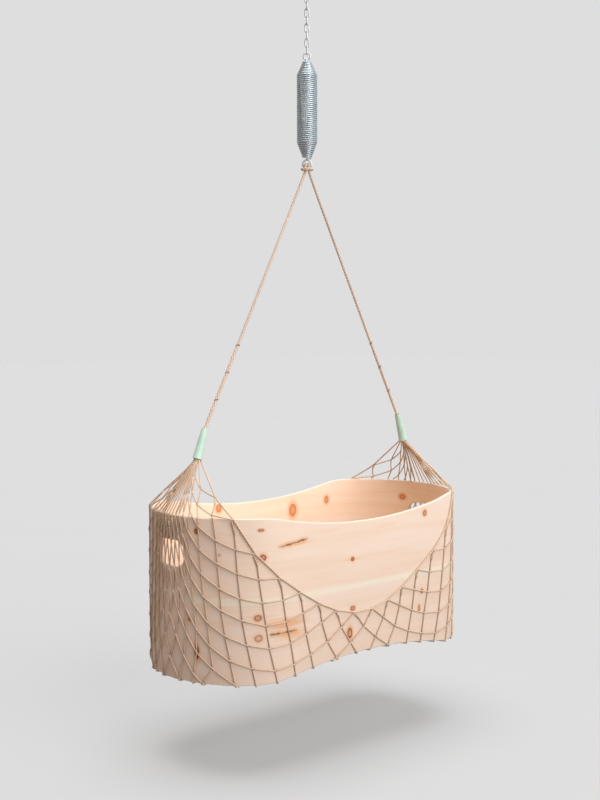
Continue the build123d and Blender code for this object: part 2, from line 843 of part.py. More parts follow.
# The ceiling plate and the closed eye riveted in it
with BuildPart() as ceiling_plate:
    with BuildSketch(at_height(0)):
        Circle(plate_diameter / 2)
        Circle(ceiling_eye_wire / 2 + play, mode=Mode.SUBTRACT)
        with PolarLocations(plate_screw_circle_diameter / 2, plate_screw_count):
            Circle(plate_screw_hole / 2, mode=Mode.SUBTRACT)
    extrude(amount=-plate_thickness)
    chamfer(ceiling_plate.edges().group_by(Axis.Z)[0].filter_by(
        lambda e: e.radius > plate_diameter / 4), plate_thickness / 5)
keep(ceiling_plate.part, "ceiling_plate")
with BuildPart() as ceiling_eye:
    add(ring((ceiling_eye_width - ceiling_eye_wire) / 2, ceiling_eye_wire, ceiling_ring_z, chain_turn + 90))
    with BuildSketch(at_height(-play)):
        Circle(ceiling_eye_wire / 2)
    extrude(amount=ceiling_ring_z + ceiling_eye_width / 2 - ceiling_eye_wire / 2 + play)
    with BuildSketch(at_height(-plate_thickness - play)):
        Circle(ceiling_eye_wire)
    extrude(amount=-ceiling_eye_neck / 3)
keep(ceiling_eye.part, "ceiling_eye")
print(f"  foot of the shell at {foot_z:.1f}")
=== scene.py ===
import math

import bmesh
import bpy
from bpy.props import FloatProperty, PointerProperty
from mathutils import Matrix, Vector


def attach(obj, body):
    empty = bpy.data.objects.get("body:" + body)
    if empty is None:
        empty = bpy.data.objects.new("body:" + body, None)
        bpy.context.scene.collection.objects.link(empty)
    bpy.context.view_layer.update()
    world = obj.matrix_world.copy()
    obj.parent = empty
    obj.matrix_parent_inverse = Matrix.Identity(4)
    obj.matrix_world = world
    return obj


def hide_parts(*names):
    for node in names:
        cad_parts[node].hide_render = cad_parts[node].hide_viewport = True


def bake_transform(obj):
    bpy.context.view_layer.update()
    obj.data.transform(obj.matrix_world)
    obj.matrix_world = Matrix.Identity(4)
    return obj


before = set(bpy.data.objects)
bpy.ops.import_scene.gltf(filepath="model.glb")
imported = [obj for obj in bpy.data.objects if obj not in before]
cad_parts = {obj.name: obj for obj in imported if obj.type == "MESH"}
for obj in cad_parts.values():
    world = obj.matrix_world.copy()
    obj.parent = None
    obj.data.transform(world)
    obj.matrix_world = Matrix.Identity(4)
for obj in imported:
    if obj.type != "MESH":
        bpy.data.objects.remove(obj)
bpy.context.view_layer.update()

bl_info = {
    "name": "Spring cradle",
    "version": (1, 0, 0),
    "blender": (4, 5, 0),
    "location": "View3D > Sidebar > Cradle",
    "description": "Looks of a bent pine cradle that hangs in a cord net from a rope and a spring",
    "category": "Object",
}

UP = Vector((0, 0, 1))

# Sizes of the wooden shell and its place, in metres
FOOT = -1.44847
HEIGHT = 0.332
HALF_LENGTH = 0.375
HALF_WIDTH = 0.1875
WALL = 0.008
WALL_SKIN = 0.0012
SHOULDER = 0.16
END = 0.212
SHOULDER_DROP = HALF_WIDTH - SHOULDER
END_CENTRE = HALF_LENGTH - END
SHOULDER_X = END_CENTRE + math.sqrt((END - SHOULDER) ** 2 - SHOULDER_DROP ** 2)
SHOULDER_ANGLE = math.atan2(SHOULDER_DROP, SHOULDER_X - END_CENTRE)
SHOULDER_RUN = (math.pi / 2 - SHOULDER_ANGLE) * SHOULDER
QUARTER = SHOULDER_X + SHOULDER_RUN + SHOULDER_ANGLE * END
FOOT_ARCH = 0.0265
FOOT_CHORD = 0.52
SHARP_EDGE = math.radians(55)

# The sleeves: middle of the mouth, length and lean, and the height above the rim over which the
# net's knots run into the mouth
MOUTH_OUT = 0.305
MOUTH_RISE = 0.1065
SLEEVE_LENGTH = 0.064
SLEEVE_LEAN = math.radians(18)
FAN_RUN = 0.135

# Knots of the net over the left half of the near side. Each row is one sweeping cord: its number,
# the number of the first steep cord it meets, and then millimetres round the wall from the near
# side's middle and millimetres above the foot, knot by knot.
KNOT_ROWS = (
    (7, 2, ((352, 379), (397, 398), (428, 428))),
    (6, 3, ((336, 331), (379, 340), (412, 362), (433, 392), (447, 425))),
    (5, 4, ((293, 262), (332, 272), (372, 289), (411, 316), (432, 348), (446, 384), (456, 425))),
    (4, 5, ((243, 212), (287, 212), (329, 224), (369, 243), (407, 268), (435, 304), (448, 342),
            (457, 382))),
    (3, 6, ((193, 177), (236, 167), (280, 165), (324, 175), (364, 193), (404, 221), (430, 254),
            (448, 298), (459, 338), (466, 380))),
    (2, 7, ((140, 146), (185, 134), (229, 123), (273, 119), (320, 131), (361, 150), (398, 175),
            (427, 211), (445, 251), (459, 292), (468, 335))),
    (1, 8, ((92, 125), (134, 107), (177, 90), (218, 78), (266, 73), (311, 82), (354, 100),
            (391, 125), (422, 160), (443, 200), (458, 240), (470, 284), (478, 328))),
    (0, 9, ((40, 113), (79, 88), (118, 64), (165, 46), (210, 34), (255, 27), (301, 35), (344, 50),
            (386, 78), (416, 110), (442, 150), (460, 189), (472, 232), (481, 276), (487.4, 320))),
    (-1, 9, ((13, 79), (52, 51), (93, 27))),
    (-1, 2, ((335, 3), (380, 33), (416, 63), (440, 99), (462, 139), (476, 182), (487.4, 226))),
    (-2, 1, ((403, 2), (423, 18), (448, 53), (469, 93), (487.4, 133))),
    (-3, -1, ((461, 3), (487.4, 44))),
)
# The net's middle lies a little right of the shell's, and the right half of the net is stepped
# closer at first and catches up with the end
NET_MIDDLE = 0.013
RIGHT_STEP = 0.9
RIGHT_CATCH_UP = 0.15

# The rope's route: the control points of its line, from the left splice over the bar and back
ROPE_ROUTE = (
    (-0.19667, 0.0001, -0.78079), (-0.00463, 0.00031, -0.4107), (-0.00647, -0.0018, -0.4039),
    (-0.00647, -0.0018, -0.3915), (0.00088, 0.00665, -0.3915), (0.00088, 0.00665, -0.4027),
    (-0.00448, 0.01131, -0.4027), (-0.01648, -0.0025, -0.4027), (-0.00018, -0.01667, -0.4027),
    (0.01182, -0.00286, -0.4027), (0.00647, 0.0018, -0.4027), (0.00647, 0.0018, -0.3915),
    (-0.00088, -0.00665, -0.3915), (-0.00088, -0.00665, -0.4039), (0.00096, -0.00454, -0.4107),
    (0.19577, -0.00142, -0.78127),
)

# Knots in the wood: metres round the wall, metres above the foot, half width, half height, depth of
# tone, and how far the middle is paler than its ring
OUTER_KNOTS = (
    (0.4167, 0.3046, 0.004, 0.005, 0.9, 0.0), (0.2827, 0.3093, 0.006, 0.003, 0.7, 0.0),
    (0.3668, 0.2603, 0.004, 0.003, 0.3, 0.0), (0.2790, 0.2548, 0.0065, 0.006, 0.9, 0.4),
    (0.1892, 0.2819, 0.004, 0.003, 0.2, 0.0), (0.2896, 0.1351, 0.0075, 0.006, 0.7, 0.5),
    (0.2884, 0.0946, 0.008, 0.007, 0.5, 0.7), (0.4165, 0.0624, 0.005, 0.013, 1.0, 0.0),
    (0.4333, 0.1273, 0.004, 0.004, 0.7, 0.0), (0.0451, 0.2249, 0.0045, 0.004, 0.9, 0.0),
    (0.0448, 0.1213, 0.0065, 0.005, 0.7, 0.4), (0.0533, 0.0703, 0.0065, 0.0105, 0.9, 1.0),
    (-0.1755, 0.2987, 0.0055, 0.006, 0.8, 0.6), (-0.1673, 0.1272, 0.004, 0.005, 0.7, 0.0),
    (-0.1585, 0.0902, 0.004, 0.007, 0.6, 0.3), (0.7600, 0.1700, 0.007, 0.006, 0.7, 0.5),
    (1.1200, 0.2400, 0.007, 0.007, 0.7, 0.6), (1.3600, 0.1100, 0.006, 0.006, 0.7, 0.0),
)
INNER_KNOTS = (
    (0.8682, 0.2979, 0.007, 0.009, 0.9, 1.0), (1.0917, 0.2704, 0.010, 0.014, 0.85, 1.0),
    (1.2011, 0.2852, 0.006, 0.008, 0.85, 1.0), (1.4065, 0.2924, 0.008, 0.006, 0.85, 1.0),
    (1.3735, 0.2206, 0.006, 0.004, 0.8, 0.0), (0.3200, 0.1500, 0.007, 0.005, 0.6, 0.5),
)
# Checks in the wood: one end and the other, round the wall and above the foot
CRACKS = (
    ((0.2481, 0.2728), (0.1678, 0.2839)),
    ((0.2681, 0.0998), (0.1978, 0.1023)),
)
# Resin stains: middle round the wall and above the foot, half length, half height, strength
STAINS = (
    (0.228, 0.119, 0.066, 0.015, 0.62), (0.215, 0.096, 0.050, 0.013, 0.55),
    (0.203, 0.277, 0.050, 0.007, 0.52), (0.045, 0.2249, 0.030, 0.0025, 0.60),
    (0.283, 0.2548, 0.028, 0.003, 0.35), (0.285, 0.137, 0.045, 0.0035, 0.30),
    (0.418, 0.052, 0.007, 0.022, 0.50), (1.3735, 0.219, 0.035, 0.005, 0.60),
    (1.0917, 0.262, 0.010, 0.028, 0.35), (-0.1755, 0.2987, 0.014, 0.004, 0.40),
    (0.120, 0.292, 0.060, 0.003, 0.12), (-0.05, 0.286, 0.045, 0.006, 0.14),
)

# The photographer's place: how far round, how far off, how high above the foot, and the tilts
CAMERA_TURN = math.radians(42.2)
CAMERA_ASIDE = 0.0163
CAMERA_OFF = 2.842
CAMERA_RISE = 0.729
CAMERA_PITCH = math.radians(3.7)
CAMERA_ROLL = math.radians(-0.1)
CAMERA_LENS = 58.5
CAMERA_SENSOR = 36.0

# The floor, the backdrop and the light, whose colours are linear. The world lights the left side
# warm and dim and the right side bright, and each lamp has its strength, width and way in.
FLOOR_DROP = 0.19
FLOOR_REACH = 20.0
FLOOR_TONES = ((0.262, 0.267, 0.272), (0.258, 0.263, 0.268))
FLOOR_GLOW = 0.42
BACKDROP = (0.73, 0.73, 0.73, 1.0)
WORLD_LEFT = (0.20, 0.093, 0.026)
WORLD_RIGHT = (0.84, 0.86, 0.88)
LAMPS = (
    ("ceiling_lamp", 2.8, math.radians(46), (0.0, 0.0, 1.0)),
    ("front_lamp", 2.0, math.radians(50), (0.02, -0.92, 0.4)),
)

# What all the wood shares: linear colours, how late wood tints the deep colour, and the layers of
# grain by how far they are drawn along and across it, their scale, detail and roughness
RESIN = (0.74, 0.29, 0.075)
KNOT_HEART = (0.36, 0.14, 0.07)
CHECK_GLOW = (0.68, 0.36, 0.17)
CHECK_DARK = (0.17, 0.085, 0.05)
LATE_WOOD = (0.95, 0.82, 0.70)
LATE_BOARD = (0.8, 0.7, 0.62)
WAVES = (1.3, 3.0, 3.0, 2.0, 0.5)
GRAIN_LAYERS = (
    (1.0, 15.0, 2.2, 3.0, 0.6), (2.4, 105.0, 2.0, 5.0, 0.65), (14.0, 420.0, 2.4, 3.0, 0.6))

# How the rope, its splices and their stitches are laid
LINE_STEP = 0.002
ROPE_LAY = 0.021
SPLICE_LAY = 0.023
STRAND_SHARE = 0.262
SPLICE_INSIDE = 0.03
STITCHES = (0.0, 0.33, 0.66)
STITCH_WIRE = 0.0007
STITCH_REACH = 0.48
STITCH_LEAN = 0.002

# How the net's cords lie. Lifts off the wall and the sizes of knots count in cord diameters.
OVER_LIFT = 0.95
UNDER_LIFT = 0.62
KNOT_LIFT = 0.75
HEM_LIFT = 0.9
HEM_KNOT = 0.95
KNOT = 0.8
KNOT_LONG = 1.25
KNOT_FLAT = 0.8
LOWEST_KNOT = 0.008
TAIL_ASIDE = 0.004
TAIL_LEAVES = 0.04
TAIL_MEETS = 0.45
CORD_STEP = 0.012
HEM_STEP = 0.01
FOOT_STEP = 0.004
EDGE_DROP = 0.0016
EDGE_OUT = 0.001
EDGE_IN = 0.006
UNDER_DROP = 0.0019
UNDER_STEP = 0.02
FAN_STEPS = 6
FAN_SPREAD = 0.0035 / 0.12
FAN_BACK = -0.002

# Where cords run in a sleeve's mouth and where they end: up from the mouth, across and back
CORD_ENDS = ((0.0, 0.005, 0.0045), (0.02, 0.0035, 0.0035))
HEM_ENDS = ((0.0, 0.0052, 0.0045), (0.012, 0.0045, 0.004))

# Steel pieces: radii of their wires and places below the ceiling face
BAR_TURN = math.radians(-41)
LINK_COUNT = 8
LINK_WIRE = 0.0015
LINK_BEND = 0.0039
LINK_LEG = 0.0056
FIRST_LINK = -0.0387
LINK_DROP = 0.0157
WELD = ((-0.0012, 0.00135), (-0.0006, 0.00168), (0.0006, 0.00168), (0.0012, 0.00135))
CEILING_EYE_WIRE = 0.002
CEILING_RING = (-0.023, 0.01)
CEILING_SHANK = (-0.0003, -0.0128)
CEILING_COLLAR = ((-0.0053, 0.0036), (-0.0058, 0.004), (-0.0068, 0.004), (-0.0073, 0.0035))
EYE_WIRE = 0.0019
TOP_RING = (-0.1619, 0.0075)
TOP_SHANK = (-0.1692, -0.183)
TOP_HEAD = ((-0.1788, 0.0066), (-0.1792, 0.0072), (-0.1838, 0.0096), (-0.1842, 0.009))
BAR_HEIGHT = -0.3971
BAR_REACH = 0.0096
BAR_RISE = 0.0093
STIRRUP_TOP = -0.3811
STIRRUP_CORNER = 0.0038
FOOT_SHANK = (-0.3835, -0.369)
FOOT_HEAD = ((-0.3745, 0.0066), (-0.3741, 0.0072), (-0.3693, 0.0092), (-0.3689, 0.0088))

# The spring, from the top of its upper cone to its foot
SPRING_DIAMETER = 0.045
SPRING_TIP = 0.0186
SPRING_PITCH = 0.0043
CONE_TOP = -0.202
CONE_FOOT = -0.345
TOP_CONE = 0.031
FOOT_CONE = 0.037
COIL_STEPS = 28


def length(name, description, default, low):
    return FloatProperty(name=name, description=description, default=default, min=low,
                         unit="LENGTH", subtype="DISTANCE")


class CradleSettings(bpy.types.PropertyGroup):
    """Sizes that the looks are built from"""
    net_cord: length("Net cord", "Diameter of the net's cord", 0.0029, 0.001)
    hem_cord: length("Hem cord", "Diameter of the cord along the net's edge", 0.0034, 0.001)
    rope: length("Rope", "Diameter of the rope", 0.0068, 0.002)
    splice: length("Splice", "Diameter of the spliced ends of the rope", 0.0078, 0.002)
    spring_wire: length("Spring wire", "Diameter of the spring's wire", 0.0037, 0.001)
    edge_round: length("Edge rounding", "Rounding of the shell's edges", 0.0022, 0.0)


# Materials

class Wire:
    """One output of a node, with the usual sums written as sums"""

    def __init__(self, graph, socket):
        self.graph = graph
        self.socket = socket

    def math(self, operation, *others):
        return self.graph.math(operation, self, *others)

    def __add__(self, other):
        return self.math("ADD", other)

    def __radd__(self, other):
        return self.math("ADD", other)

    def __sub__(self, other):
        return self.math("SUBTRACT", other)

    def __rsub__(self, other):
        return self.graph.math("SUBTRACT", other, self)

    def __mul__(self, other):
        return self.math("MULTIPLY", other)

    def __rmul__(self, other):
        return self.math("MULTIPLY", other)

    def __truediv__(self, other):
        return self.math("DIVIDE", other)

    def __rtruediv__(self, other):
        return self.graph.math("DIVIDE", other, self)

    def __pow__(self, other):
        return self.math("POWER", other)

    def __rpow__(self, other):
        return self.graph.math("POWER", other, self)


class Graph:
    """The nodes of a material or a world, and the one method that makes them"""

    def __init__(self, owner):
        owner.use_nodes = True
        self.owner = owner
        self.tree = owner.node_tree
        self.tree.nodes.clear()

    def node(self, kind, settings, inputs, output=0):
        made = self.tree.nodes.new(kind)
        for key, value in settings.items():
            setattr(made, key, value)
        for key, value in inputs.items():
            if isinstance(value, Wire):
                self.tree.links.new(value.socket, made.inputs[key])
            else:
                made.inputs[key].default_value = value
        return Wire(self, made.outputs[output]) if made.outputs else None

    def math(self, operation, *values):
        return self.node("ShaderNodeMath", {"operation": operation}, dict(enumerate(values)))

    def where(self):
        return self.node("ShaderNodeTexCoord", {}, {}, "Object")

    def lay(self):
        return self.node("ShaderNodeUVMap", {"uv_map": "lay"}, {})

    def split(self, vector):
        made = self.node("ShaderNodeSeparateXYZ", {}, {0: vector}).socket.node
        return [Wire(self, made.outputs[i]) for i in range(3)]

    def join(self, x, y, z=0.0):
        return self.node("ShaderNodeCombineXYZ", {}, {0: x, 1: y, 2: z})

    def noise(self, vector, scale, detail=2.0, rough=0.5):
        inputs = {"Vector": vector, "Scale": scale, "Detail": detail, "Roughness": rough}
        return self.node("ShaderNodeTexNoise", {"noise_dimensions": "3D"}, inputs, "Fac")

    def grain(self, run, line, along, across, scale, detail, rough):
        """Noise drawn out along the wood"""
        return self.noise(self.join(run * along, line * across), scale, detail, rough)

    def ease(self, value, low, high, start=0.0, end=1.0):
        inputs = {0: value, 1: low, 2: high, 3: start, 4: end}
        return self.node("ShaderNodeMapRange", {"interpolation_type": "SMOOTHSTEP"}, inputs)

    def mix(self, share, *tones):
        a, b = (tone if isinstance(tone, Wire) else (*tone, 1.0) for tone in tones)
        return self.node("ShaderNodeMix", {"data_type": "RGBA"}, {0: share, 6: a, 7: b}, 2)

    def by_camera(self, other, seen):
        """One look for the camera and another for all other rays"""
        camera = self.node("ShaderNodeLightPath", {}, {}, "Is Camera Ray")
        return self.node("ShaderNodeMixShader", {}, {0: camera, 1: other, 2: seen})

    def scaled(self, vector, size):
        return self.node("ShaderNodeVectorMath", {"operation": "MULTIPLY"}, {0: vector, 1: size})

    def apart(self, run, height, place, level, wide, tall):
        """Distance from a mark in the wood, counted in its half width and half height"""
        ends = {0: self.join(run / wide, height / tall), 1: (place / wide, level / tall, 0)}
        return self.node("ShaderNodeVectorMath", {"operation": "DISTANCE"}, ends, "Value")

    def bump(self, height, distance, strength):
        inputs = {"Height": height, "Distance": distance, "Strength": strength}
        return self.node("ShaderNodeBump", {}, inputs)

    def finish(self, inputs):
        surface = self.node("ShaderNodeBsdfPrincipled", {}, inputs)
        self.node("ShaderNodeOutputMaterial", {}, {"Surface": surface})
        return self.owner


def pine(g, knots, cracks, pale, deep, sap, sapwood, ring_tone):
    """Planed pine whose grain swerves round its knots, with checks, resin and sapwood"""
    run, height, _ = g.split(g.lay())
    ragged = g.noise(g.join(run, height), 260.0) * 0.5 - 0.25
    rings = halo = core = height * 0.0
    swerve = 0.0
    for place, level, wide, tall, dark, paler in knots:
        away = g.apart(run, height, place, level, wide, tall)
        edge = away + ragged
        heart = g.ease(edge, 0.5, 1.1, dark * (1 - 0.75 * paler), 0.0)
        ring = g.ease((edge - 0.85).math("ABSOLUTE"), 0.08, 0.36, dark, 0.0)
        glow = g.ease(edge, 0.6, 2.4, dark * 0.9, 0.0)
        core, rings = core.math("MAXIMUM", heart), rings.math("MAXIMUM", ring)
        halo = halo.math("MAXIMUM", glow)
        swerve = swerve + 0.5 * (height - level) * math.e ** (away * away * -0.15)
    line = height + g.grain(run, height, *WAVES) * 0.02 - swerve
    broad, streak, fine = (g.grain(run, line, *layer) for layer in GRAIN_LAYERS)
    wood = g.mix(g.ease(broad, 0.35, 0.7), pale, deep)
    late = tuple(c * f for c, f in zip(deep, LATE_WOOD))
    wood = g.mix(g.ease(streak, 0.52, 0.78, 0.0, 0.5), wood, late)
    wood = g.mix(g.ease(fine, 0.45, 0.8, 0.0, 0.22), wood, late)
    level, half, soft, amount = sap
    jag = (broad - 0.5) * 0.012 + (streak - 0.5) * 0.01
    band = g.ease((height - level + jag).math("ABSOLUTE"), half, half + soft, amount, 0.0)
    wood = g.mix(band, wood, sapwood)
    for *mark, strength in STAINS:
        off = g.apart(run, height, *mark)
        smear = g.ease(off + (streak - 0.5) * 1.6, 0.2, 1.15, strength, 0.0)
        halo = halo.math("MAXIMUM", smear)
    wood = g.mix(halo, wood, RESIN)
    wood = g.mix(core, wood, KNOT_HEART)
    wood = g.mix(rings, wood, ring_tone)
    shake = g.noise(g.join(run * 30.0, 0.5), 3.0, 4.0)
    wander = g.noise(g.join(run * 9.0, 2.5), 3.0, 3.0)
    for (run0, height0), (run1, height1) in cracks:
        along = (run - run1) * (1.0 / (run0 - run1))
        off = height - height1 - along * (height0 - height1) + wander * 0.012 - 0.006
        off = off.math("ABSOLUTE")
        inside = g.ease((along - 0.5).math("ABSOLUTE"), 0.36, 0.52, 1.0, 0.0)
        glow = g.ease(off - shake * 0.004, 0.0, 0.006, 0.75, 0.0) * inside
        split = g.ease(off - (shake - 0.45) * 0.006, 0.0004, 0.0018, 0.95, 0.0) * inside
        wood = g.mix(glow, wood, CHECK_GLOW)
        wood = g.mix(split, wood, CHECK_DARK)
    relief = streak * 0.4 + fine * 0.4 + core * 0.5
    return g.finish({
        "Base Color": wood, "Roughness": 0.52 + fine * 0.12, "Coat Weight": 0.08,
        "Coat Roughness": 0.35, "Normal": g.bump(relief, 0.0003, 0.4)})


def plain_wood(g, pale, deep, along):
    """Planed wood whose grain runs along X or Y"""
    x, y, z = g.split(g.where())
    if along == "Y":
        x, y = y, x
    wave = g.noise(g.join(x * 1.5, y * 4.0, z * 4.0), 3.0, 3.0) * 0.02
    broad = g.noise(g.join(x * 2.0, (y + wave) * 30.0, z * 30.0), 2.0, 4.0)
    fine = g.noise(g.join(x * 12.0, (y + wave) * 240.0, z * 240.0), 2.0, 3.0)
    late = tuple(c * f for c, f in zip(deep, LATE_BOARD))
    wood = g.mix(g.ease(broad, 0.3, 0.7), pale, deep)
    wood = g.mix(g.ease(fine, 0.35, 0.8, 0.0, 0.4), wood, late)
    return g.finish({"Base Color": wood, "Roughness": 0.55 + fine * 0.15,
                     "Normal": g.bump(fine, 0.0003, 0.5)})


def cord_look(g, pale, deep, ply, fuzz):
    """Twisted cord: plies that wind round it, with painted shade in the hollows between them and a
    little fuzz
    """
    run, turn, _ = g.split(g.lay())
    twist = (run * (1.0 / ply) + turn) * (2 * math.pi)
    plies = twist.math("SINE") * 0.5 + 0.5
    hairs = g.noise(g.join(run * 900.0, turn * 6.0), 1.0, 3.0, 0.7)
    patch = g.noise(g.where(), 9.0, 3.0)
    # The deep colour is painted shade: it goes in the hollows between the plies, mixed with the
    # random tone of the hairs
    tone = g.ease(plies, 0.05, 0.8) * 0.75 + hairs * 0.25
    body = g.mix(g.ease(patch, 0.3, 0.7), pale, tuple(c * 0.88 for c in pale))
    body = g.mix(tone, deep, body)
    return g.finish({
        "Base Color": body, "Roughness": 0.9, "Sheen Weight": fuzz, "Sheen Roughness": 0.5,
        "Normal": g.bump(plies * 0.7 + hairs * 0.5, 0.0006, 0.8)})


def zinc(g, base, stain):
    """Zinc plate with a dull patchy film and fine drawing marks"""
    place = g.where()
    film = g.noise(place, 60.0, 4.0, 0.6)
    marks = g.noise(g.scaled(place, (1.0, 1.0, 6.0)), 400.0, 2.0, 0.6)
    shade = g.mix(g.ease(film, 0.35, 0.75), base, stain)
    return g.finish({"Base Color": shade, "Metallic": 0.8, "Roughness": 0.34 + film * 0.14,
                     "Normal": g.bump(marks, 0.00001, 0.3)})


def mint(g, clean, worn):
    """Soft mint plastic, duller where it has been handled"""
    place = g.where()
    cloud = g.noise(place, 45.0, 3.0)
    grit = g.noise(place, 1400.0)
    body = g.mix(g.ease(cloud, 0.35, 0.7), clean, worn)
    return g.finish({"Base Color": body, "Roughness": 0.42 + cloud * 0.14, "Coat Weight": 0.1,
                     "Normal": g.bump(grit, 0.00005, 0.4)})


def floor_look(g, pale, deep):
    """A pale even studio floor, which the camera sees brighter than it lights the cradle"""
    dust = g.noise(g.where(), 2.0)
    body = g.mix(g.ease(dust, 0.3, 0.7), pale, deep)
    matt = {"Base Color": body, "Roughness": 1.0, "Specular IOR Level": 0.0}
    glow = {"Emission Color": BACKDROP, "Emission Strength": FLOOR_GLOW}
    dim = g.node("ShaderNodeBsdfPrincipled", {}, matt)
    bright = g.node("ShaderNodeBsdfPrincipled", {}, {**matt, **glow})
    g.node("ShaderNodeOutputMaterial", {}, {"Surface": g.by_camera(dim, bright)})
    return g.owner


def world_light():
    """An even backdrop for the camera, and a light that is warm from the left"""
    g = Graph(bpy.data.worlds.new("world"))
    side, _, _ = g.split(g.node("ShaderNodeTexCoord", {}, {}, "Generated"))
    share = g.node("ShaderNodeMapRange", {}, {0: side, 1: -1.0})
    tone = g.mix(share, WORLD_LEFT, WORLD_RIGHT)
    light = g.node("ShaderNodeBackground", {}, {"Color": tone})
    shown = g.node("ShaderNodeBackground", {}, {"Color": BACKDROP})
    g.node("ShaderNodeOutputWorld", {}, {"Surface": g.by_camera(light, shown)})
    return g.owner


# Each look's maker and what it takes after its graph. Pine takes its knots, its checks, its pale
# and deep wood, the sapwood's height, half width, softness and strength, its colour, and the
# colour of the knots' rings.
LOOK_MAKERS = {
    "pine_outer": (pine, OUTER_KNOTS, CRACKS, (0.785, 0.63, 0.52), (0.765, 0.575, 0.445),
                   (0.168, 0.004, 0.006, 0.9), (0.785, 0.69, 0.56), (0.17, 0.06, 0.03)),
    # The inner face's pale, deep and sapwood colours are paler and warmer than the outer face's:
    # painted light, for the light that bounces round inside the shell
    "pine_inner_lit": (pine, INNER_KNOTS, (), (0.91, 0.71, 0.56), (0.88, 0.645, 0.48),
                   (0.13, 0.09, 0.03, 1.0), (0.90, 0.74, 0.62), (0.60, 0.17, 0.04)),
    "pine_rim": (pine, (), (), (0.72, 0.64, 0.56), (0.69, 0.59, 0.49),
                 (0.168, 0.004, 0.006, 0.5), (0.72, 0.66, 0.56), (0.30, 0.11, 0.05)),
    "board": (plain_wood, (0.76, 0.60, 0.43), (0.68, 0.50, 0.33), "X"),
    "batten": (plain_wood, (0.72, 0.54, 0.36), (0.62, 0.43, 0.27), "X"),
    "cleat": (plain_wood, (0.72, 0.54, 0.36), (0.62, 0.43, 0.27), "Y"),
    # The cords' deep colours are painted shade for the hollows between their plies
    "net": (cord_look, (0.74, 0.565, 0.43), (0.49, 0.32, 0.20), 0.0052, 0.25),
    "hem": (cord_look, (0.78, 0.605, 0.465), (0.51, 0.34, 0.22), 0.0072, 0.25),
    "rope": (cord_look, (0.86, 0.72, 0.60), (0.56, 0.41, 0.31), 0.0046, 0.3),
    "stitch": (cord_look, (0.16, 0.12, 0.09), (0.07, 0.05, 0.04), 0.003, 0.2),
    "spring": (zinc, (0.60, 0.68, 0.73), (0.47, 0.54, 0.59)),
    "hardware": (zinc, (0.76, 0.79, 0.81), (0.62, 0.65, 0.67)),
    "plate": (zinc, (0.62, 0.64, 0.65), (0.46, 0.47, 0.48)),
    "sleeve": (mint, (0.55, 0.76, 0.64), (0.47, 0.69, 0.57)),
    "floor_pale": (floor_look,) + FLOOR_TONES,
}
LOOKS = {}


def look(name):
    """The named material, made when it is first asked for"""
    if name not in LOOKS:
        maker, *takes = LOOK_MAKERS[name]
        LOOKS[name] = maker(Graph(bpy.data.materials.new(name)), *takes)
    return LOOKS[name]


# Places round the wooden wall

def plan_point(run):
    """A place on the outside of the plan and the way out, by its run from the near middle"""
    run = run % (4 * QUARTER)
    left = run <= 2 * QUARTER
    run = run if left else 4 * QUARTER - run
    near = run <= QUARTER
    run = run if near else 2 * QUARTER - run
    if run <= SHOULDER_X:
        x, y, turn = run, HALF_WIDTH, math.pi / 2
    elif run <= SHOULDER_X + SHOULDER_RUN:
        turn = math.pi / 2 - (run - SHOULDER_X) / SHOULDER
        x, y = SHOULDER_X + SHOULDER * math.cos(turn), SHOULDER_DROP + SHOULDER * math.sin(turn)
    else:
        turn = (QUARTER - run) / END
        x, y = END_CENTRE + END * math.cos(turn), END * math.sin(turn)
    sx = -1 if left else 1
    sy = -1 if near else 1
    return sx * x, sy * y, sx * math.cos(turn), sy * math.sin(turn)


def plan_run(x, y):
    """The run of the place on the plan that lies straight in or out from (x, y)"""
    ax, ay = abs(x), abs(y)
    if ax <= SHOULDER_X:
        run = ax
    else:
        turn = math.atan2(ay - SHOULDER_DROP, ax - SHOULDER_X)
        if turn >= SHOULDER_ANGLE:
            run = SHOULDER_X + (math.pi / 2 - turn) * SHOULDER
        else:
            run = QUARTER - math.atan2(ay, ax - END_CENTRE) * END
    if x <= 0:
        return run if y <= 0 else 2 * QUARTER - run
    return -run if y <= 0 else 2 * QUARTER + run


def on_wall(run, height, out):
    x, y, nx, ny = plan_point(run)
    return Vector((x + nx * out, y + ny * out, FOOT + height))


def arch(x):
    """Height of the foot's arch where the cradle's length is at x, below zero past its ends"""
    return FOOT_ARCH * (1 - (2 * x / FOOT_CHORD) ** 2)


def foot_height(run):
    """Height of the shell's lower edge"""
    return max(0.0, arch(plan_point(run)[0]))


def sleeve_point(side, along, across=0.0, back=0.0):
    """A place in a sleeve: up from its mouth, sideways along Y, and back towards the middle"""
    axis = Vector((-side * math.sin(SLEEVE_LEAN), 0, math.cos(SLEEVE_LEAN)))
    inwards = Vector((-side * math.cos(SLEEVE_LEAN), 0, -math.sin(SLEEVE_LEAN)))
    mouth = Vector((side * MOUTH_OUT, 0, FOOT + HEIGHT + MOUTH_RISE))
    return mouth + axis * along + inwards * back + Vector((0, across, 0))


# Mesh helpers

def new_object(name, bm, *looks):
    mesh = bpy.data.meshes.new(name)
    bm.to_mesh(mesh)
    bm.free()
    for one in looks:
        mesh.materials.append(look(one))
    made = bpy.data.objects.new(name, mesh)
    bpy.context.scene.collection.objects.link(made)
    return made


def dress(name, bm, body, node, slot, *looks):
    """A piece that rides on a body and stands for a CAD node"""
    piece = new_object(name, bm, *looks)
    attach(piece, body)
    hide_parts(node)
    return piece


def paint(name):
    """Gives a CAD node the look that its name ends in"""
    kind = name.split("_")[1]
    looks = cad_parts[name].data.materials
    if not looks:
        looks.append(look(kind))
    for i in range(len(looks)):
        looks[i] = look(kind)


def new_bmesh():
    bm = bmesh.new()
    bm.loops.layers.uv.new("lay")
    return bm


def runs(points):
    """How far along the line each point lies"""
    lengths = [0.0]
    for a, b in zip(points, points[1:]):
        lengths.append(lengths[-1] + (b - a).length)
    return lengths


def circle(centre, flat, up, radius, count):
    turns = (2 * math.pi * i / count for i in range(count))
    return [centre + (flat * math.cos(a) + up * math.sin(a)) * radius for a in turns]


